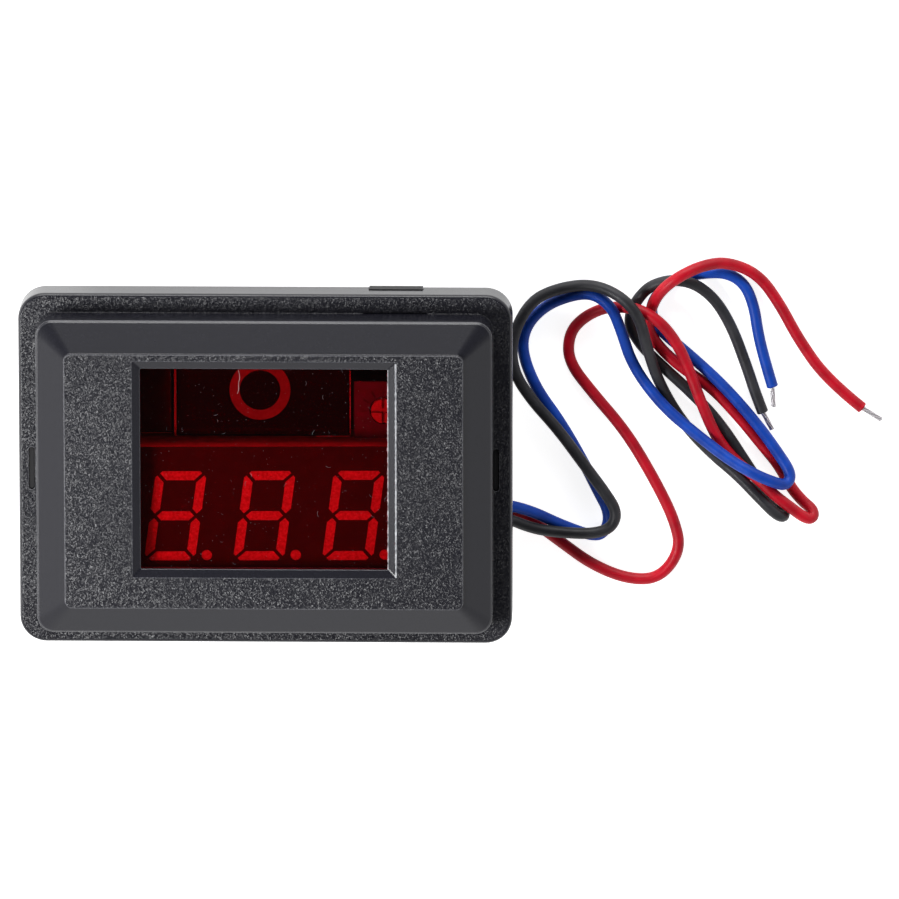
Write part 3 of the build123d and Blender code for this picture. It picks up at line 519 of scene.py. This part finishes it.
finishes = {
    "bezel": sparkErodedAbs(),
    "rear_housing": satinAbs(),
    "red_lens": redAcrylic(),
    "display_block": paintedShell(),
    # epoxy cast with white powder: milky and smooth
    "segment": mottled("milkyEpoxy", "#c4c0ba", "#94908a", 0.3, 0.55),
    # printed lacquer over copper: glossy green
    "board": mottled("solderMask", "#1e5a34", "#174a2a", 2.0, 0.35),
    # epoxy from a polished tool: black with a clean gloss
    "glossMoulding": mottled("polishedEpoxy", "#161618", "#121214", 4.0, 0.12, bumpMm=0.004),
    # epoxy from a sandblasted tool: matt black
    "moulding": mottled("blastedEpoxy", "#1d1d1f", "#151517", 0.2, 0.45),
    # steel pins, tin plated: soft grey shine
    "tin": mottled("tinPlate", "#b9b8ba", "#9c9b9e", 0.3, 0.35, metallic=1.0),
    # glass-filled polyester, moulded: dull blue
    "trimmerBody": mottled("mouldedPolyester", "#465290", "#3c4880", 1.0, 0.5),
    # nylon, moulded: chalky off white
    "trimmerRotor": mottled("mouldedNylon", "#c2beb6", "#a8a49c", 0.5, 0.4),
    # aluminium, deep drawn: even grey metal
    "can": mottled("drawnAluminium", "#cfcfd2", "#b6b6ba", 0.3, 0.35, metallic=1.0),
    # chip parts, fired: tan and matt
    "ceramic": mottled("firedChip", "#a98a63", "#8f734f", 0.4, 0.5),
    # solder, melted: bright and smooth
    "solder": mottled("solderFillet", "#c4c4c6", "#a9a9ac", 0.5, 0.25, metallic=1.0),
    # steel screws, zinc plated: grey with a slight cloud
    "screw": mottled("zincPlate", "#b5b5b2", "#94948f", 0.4, 0.35, metallic=1.0),
    # rubber, moulded: black and dull
    "rubber": mottled("mouldedRubber", "#1d1d1d", "#151515", 0.15, 0.65, bumpMm=0.03),
}
sameFinish = {
    "segment": ["digit_1_segments", "digit_2_segments", "digit_3_segments"],
    "board": ["main_board"],
    "glossMoulding": ["converter_module"],
    "moulding": ["bridge_rectifier", "driver_chip", "voltage_regulator", "protection_diode", "digit_transistors"],
    "tin": ["display_pins", "converter_pins", "rectifier_pins", "trimmer_pins", "driver_leads"],
    "trimmerBody": ["trimmer_body"],
    "trimmerRotor": ["trimmer_rotor"],
    "can": ["smoothing_capacitor"],
    "ceramic": ["chip_resistors", "chip_capacitors"],
    "solder": ["lead_solder_joints"],
    "screw": ["board_screws"],
    "rubber": ["lead_grommet"],
}
whose = {node: finish for finish, nodes in sameFinish.items() for node in nodes}
for node in ("bezel", "rear_housing", "red_lens", "display_block"):
    whose[node] = node
for node, finish in whose.items():
    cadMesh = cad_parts[node].data
    cadMesh.materials.clear()
    cadMesh.materials.append(finishes[finish])
for colour in ("black", "blue", "red"):
    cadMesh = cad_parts["inner_wire_" + colour].data
    cadMesh.materials.clear()
    cadMesh.materials.append(bpy.data.materials["extrudedPvc_" + colour])
print("finishes set")

# fine edges: the ragged burrs at the window's right side, a pale ridge painted as a highlight on the bevel's outer
# edge, and pale beads painted as glints along the potted parts

windowBurrAndHighlight = {
    # from, to, least and most width
    "lines": (
        ((13.96, -10.05, 21.12), (13.96, 12.9, 21.12), (0.06, 0.24)),
        # a pale ridge on the bevel's outer edge: a painted highlight
        ((14.86, -10.95, 21.56), (14.86, 13.75, 21.56), (0.16, 0.26)),
    ),
    "tallMm": 0.08,
    "stepMm": 0.22,
    "seed": 5,
}
paintedGlintBeads = {
    # from, to, least and most width; each is a pale bead painted as a glint, lying at the foot of an edge of the
    # module or its neighbour
    "lines": (
        ((-10.15, 3.65, 13.35), (-10.15, 12.65, 13.35), (0.26, 0.34)),
        ((5.7, 3.6, 13.35), (9.5, 3.6, 13.35), (0.1, 0.2)),
        ((9.53, 3.7, 13.35), (9.53, 12.6, 13.35), (0.05, 0.1)),
        ((-16.6, 3.86, 13.1), (-10.6, 3.86, 13.1), (0.05, 0.1)),
    ),
    "tallMm": 0.3,
    "stepMm": 0.3,
    "seed": 9,
}


ridgeSection = ((-0.5, 0.0), (-0.3, 0.8), (0.3, 0.8), (0.5, 0.0))      # shares of its width and height


def ridge(bm, start, end, widths, tallMm, stepMm):
    # a low ragged ridge with a rounded top and closed ends
    start, end = Vector(start), Vector(end)
    way = (end - start).normalized()
    side = way.cross(Vector((0, 0, 1)))
    steps = max(2, int((end - start).length / stepMm))
    before = None
    for step in range(steps + 1):
        wide = random.uniform(*widths)
        tall = tallMm * random.uniform(0.7, 1.0)
        middle = start.lerp(end, step / steps)
        ring = [bm.verts.new((middle + side * wide * s + Vector((0, 0, tall * t))) * millimetre)
                for s, t in ridgeSection]
        if before:
            for k in range(4):
                m = (k + 1) % 4
                bm.faces.new((before[k], before[m], ring[m], ring[k]))
        else:
            bm.faces.new(ring)
        before = ring
    bm.faces.new(before)


def makeRidges(name, values, smooth, material):
    random.seed(values["seed"])
    bm = bmesh.new()
    for start, end, widths in values["lines"]:
        ridge(bm, start, end, widths, values["tallMm"], values["stepMm"])
    newPiece(name, meshFrom(bm, name, smooth), material)


# moulding flash: thin, torn and pale where it was pulled; the ridge on the bevel's outer edge is a painted
# highlight
makeRidges("windowBurrAndHighlight", windowBurrAndHighlight, False, mottled("pulledFlashAndHighlight", "#d2d4d8", "#77797e", 0.5, 0.45))
# pale and smooth beads at the edges: painted highlights standing in for edge glints
makeRidges("paintedGlintBeads", paintedGlintBeads, True, mottled("paintedGlintResin", "#fcf8f0", "#dcd8d0", 0.8, 0.35))

# a plain ring printed on the module

printedRing = {
    "centre": (-0.6, 8.97, 13.7),
    "outerMm": 3.42,
    "innerMm": 2.3,
    "thickMm": 0.03,
    "sides": 64,
}


def makeRing():
    # pad-printed ink: thin, grey and a little patchy
    bm = bmesh.new()
    inner, outer, thick = printedRing["innerMm"], printedRing["outerMm"], printedRing["thickMm"]
    profile = ((inner, 0), (inner, thick), (outer, thick), (outer, 0))
    lathe(bm, profile, printedRing["sides"], printedRing["centre"], True)
    newPiece("printedRing", meshFrom(bm, "printedRing", False),
             mottled("padPrintedInk", "#7c7a78", "#676563", 0.5, 0.55))


makeRing()

# dust on the lens: specks and short fibres, and one hair that lies near the window's top edge

lensDust = {
    "Width": 27.6 * millimetre,
    "Height": 22.9 * millimetre,
    "Speck Density": 0.55e6,      # on a square metre
    "Fibre Density": 0.035e6,
    "Speck Radius": 0.036 * millimetre,
    "Fibre Length": 0.5 * millimetre,
    "Fibre Radius": 0.011 * millimetre,
    "Seed": 3,
}
lensHair = {
    "routeMm": ((-2.78, 12.85), (-2.55, 12.1), (-2.8, 11.3), (-2.72, 10.5), (-2.9, 10.15)),
    "radiusMm": 0.022,
    "liftMm": 0.03,
    "steps": 12,
    "rounding": 1,
}


def dustTree(material):
    tree, given = newTree("lensDust", lensDust)
    plate = addNode(tree, "GeometryNodeMeshGrid", {"Size X": given["Width"], "Size Y": given["Height"]})
    nextSeed = addNode(tree, "ShaderNodeMath", {0: given["Seed"], 1: 1.0}, operation="ADD")
    parts = []
    for density, seed, shape in (("Speck Density", given["Seed"], "speck"),
                                 ("Fibre Density", nextSeed.outputs[0], "fibre")):
        spots = addNode(tree, "GeometryNodeDistributePointsOnFaces",
                        {"Mesh": plate, "Density": given[density], "Seed": seed})
        spin = addNode(tree, "FunctionNodeRandomValue", {0: (0, 0, 0), 1: (0, 0, 2 * math.pi), "Seed": seed},
                       data_type="FLOAT_VECTOR")
        size = addNode(tree, "FunctionNodeRandomValue", {2: 0.4, 3: 1.3, "Seed": seed}, data_type="FLOAT")
        if shape == "speck":
            ball = addNode(tree, "GeometryNodeMeshIcoSphere", {"Radius": given["Speck Radius"], "Subdivisions": 1})
            item = addNode(tree, "GeometryNodeTransform", {"Geometry": ball, "Scale": (1.0, 0.7, 0.4)})
        else:
            half = addNode(tree, "ShaderNodeMath", {0: given["Fibre Length"], 1: 0.5}, operation="MULTIPLY")
            less = addNode(tree, "ShaderNodeMath", {0: half, 1: -1.0}, operation="MULTIPLY")
            first = addNode(tree, "ShaderNodeCombineXYZ", {"X": less})
            last = addNode(tree, "ShaderNodeCombineXYZ", {"X": half})
            crown = addNode(tree, "ShaderNodeMath", {0: half, 1: 0.6}, operation="MULTIPLY")
            middle = addNode(tree, "ShaderNodeCombineXYZ", {"Y": crown})
            bow = addNode(tree, "GeometryNodeCurveQuadraticBezier",
                          {"Resolution": 6, "Start": first, "Middle": middle, "End": last})
            ring = addNode(tree, "GeometryNodeCurvePrimitiveCircle",
                           {"Resolution": 4, "Radius": given["Fibre Radius"]})
            item = addNode(tree, "GeometryNodeCurveToMesh",
                           {"Curve": bow, "Profile Curve": ring, "Fill Caps": True})
        turn = addNode(tree, "FunctionNodeEulerToRotation", {"Euler": spin})
        parts.append(addNode(tree, "GeometryNodeInstanceOnPoints",
                             {"Points": spots, "Instance": item, "Rotation": turn, "Scale": size.outputs[1]}))
    both = addNode(tree, "GeometryNodeJoinGeometry", {"Geometry": parts})
    closeTree(tree, both, material)
    return tree


def makeDust():
    # lint: pale, dry and fine; the specks are a little coarser than real ones so that they show
    material = mottled("lint", "#7a848c", "#545c64", 0.2, 0.9)
    low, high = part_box("red_lens")
    mesh = grown(dustTree(material), lensDust)
    middle = ((low[0] + high[0]) / 2, (low[1] + high[1]) / 2, high[2] + 0.01 * millimetre)
    mesh.transform(Matrix.Translation(middle))
    newPiece("lensDust", mesh, material)
    height = high[2] / millimetre + lensHair["liftMm"]
    hair = newCurve("lensHair", [(x, y, height) for x, y in lensHair["routeMm"]], lensHair["radiusMm"],
                    lensHair["steps"], lensHair["rounding"])
    hair.data.materials.append(mottled("paleHair", "#c9c4c4", "#8f8a8a", 0.4, 0.6))
    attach(hair, body)


makeDust()
print("small pieces made")

# stage and light

stage = {
    "floorSize": 6.0,
    "floorColour": "#e8e8e8",
    "seenGlow": 0.86,       # added for the camera and through the lens, so the floor reads white
    "glossGlow": 0.6,       # added in reflections
}
tent = {
    # level by the height of the direction, 0 at the horizon and 1 overhead
    "levels": ((0.0, 1.1), (0.42, 1.05), (0.6, 0.42), (0.8, 0.05), (0.95, 0.02)),
    "right": 0.78,    # share of it that is left towards the right, where the photograph is darker
}
lamps = {
    # a small near lamp at the left, and low soft boxes beyond the meter's top edge and at its left
    "near": {"place": (-0.12, -0.03, 0.21), "size": (0.07, 0.07), "power": 0.42},
    "top": {"place": (0.0, 1.5, 0.6), "size": (1.2, 0.5), "power": 13.0},
    "left": {"place": (-1.3, 0.0, 0.16), "size": (1.0, 0.2), "power": 2.9},
}


def makeFloor():
    bpy.ops.mesh.primitive_plane_add(size=stage["floorSize"], location=(0, 0, 0))
    floor = bpy.context.object
    floor.name = "floor"
    material = bpy.data.materials.new("paleFloor")
    material.use_nodes = True
    tree = material.node_tree
    tree.nodes.clear()
    path = addNode(tree, "ShaderNodeLightPath").outputs
    seen = addNode(tree, "ShaderNodeMath", {0: path["Is Camera Ray"], 1: path["Is Transmission Ray"]},
                   operation="MAXIMUM")
    glow = addNode(tree, "ShaderNodeMath", {0: seen, 1: stage["seenGlow"]}, operation="MULTIPLY")
    both = addNode(tree, "ShaderNodeMath", {0: path["Is Glossy Ray"], 1: stage["glossGlow"], 2: glow},
                   operation="MULTIPLY_ADD")
    matt = addNode(tree, "ShaderNodeBsdfDiffuse", {"Color": linear(stage["floorColour"])})
    shine = addNode(tree, "ShaderNodeEmission", {"Strength": both})
    whole = addNode(tree, "ShaderNodeAddShader", {0: matt, 1: shine})
    addNode(tree, "ShaderNodeOutputMaterial", {"Surface": whole})
    floor.data.materials.append(material)


def makeLight():
    # a tent that is bright all round and dark overhead, and the lamps
    world = bpy.data.worlds.new("tent")
    bpy.context.scene.world = world
    world.use_nodes = True
    tree = world.node_tree
    tree.nodes.clear()
    way = addNode(tree, "ShaderNodeTexCoord").outputs["Generated"]
    parts = addNode(tree, "ShaderNodeSeparateXYZ", {"Vector": way}).outputs
    level = addNode(tree, "ShaderNodeValToRGB", {"Fac": parts["Z"]}, stops=[(z, s / 2) for z, s in tent["levels"]])
    side = addNode(tree, "ShaderNodeMapRange", {"Value": parts["X"], "From Min": 0.1, "From Max": 0.8,
                                               "To Min": 2.0, "To Max": 2.0 * tent["right"]})
    sky = addNode(tree, "ShaderNodeBackground", {"Color": level, "Strength": side})
    addNode(tree, "ShaderNodeOutputWorld", {"Surface": sky})
    for name, settings in lamps.items():
        light = bpy.data.lights.new(name, "AREA")
        light.shape = "RECTANGLE"
        light.size, light.size_y = settings["size"]
        light.energy = settings["power"]
        lamp = bpy.data.objects.new(name, light)
        bpy.context.scene.collection.objects.link(lamp)
        lamp.location = settings["place"]
        lamp.rotation_euler = (-Vector(settings["place"])).to_track_quat("-Z", "Y").to_euler()
        lamp.visible_camera = False


makeFloor()
makeLight()
bpy.context.scene.view_settings.view_transform = "Standard"
print("stage lit")
